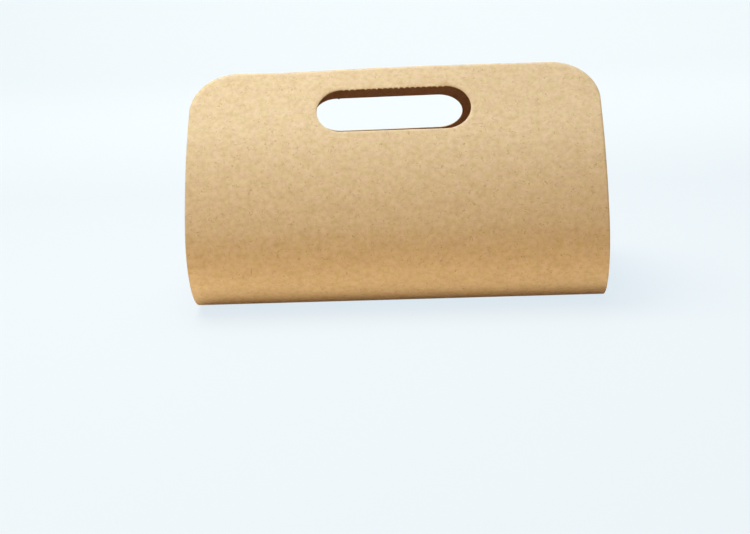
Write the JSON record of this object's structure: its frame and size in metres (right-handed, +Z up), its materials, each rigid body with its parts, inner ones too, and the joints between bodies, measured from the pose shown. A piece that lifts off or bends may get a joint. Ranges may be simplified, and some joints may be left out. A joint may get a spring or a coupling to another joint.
{
  "type": "paper cup holder",
  "caption": "Carrier of brown kraft card: one sheet rolled into a loop, with round cup holes in its flat bottom and a hand slot near the end of its front and its back.",
  "frame": {"origin": "on the underside of the flat bottom, midway between the two cup holes", "axes": "+X to the right across the sheet's width, -Y to the front, +Z up"},
  "size_m": [0.2442, 0.138, 0.1344],
  "materials": {
    "kraft_card": "uncoated brown kraft board with fine fibres, matt"
  },
  "bodies": {
    "root": {"holder_sheet": "kraft_card"}
  },
  "joints": []
}
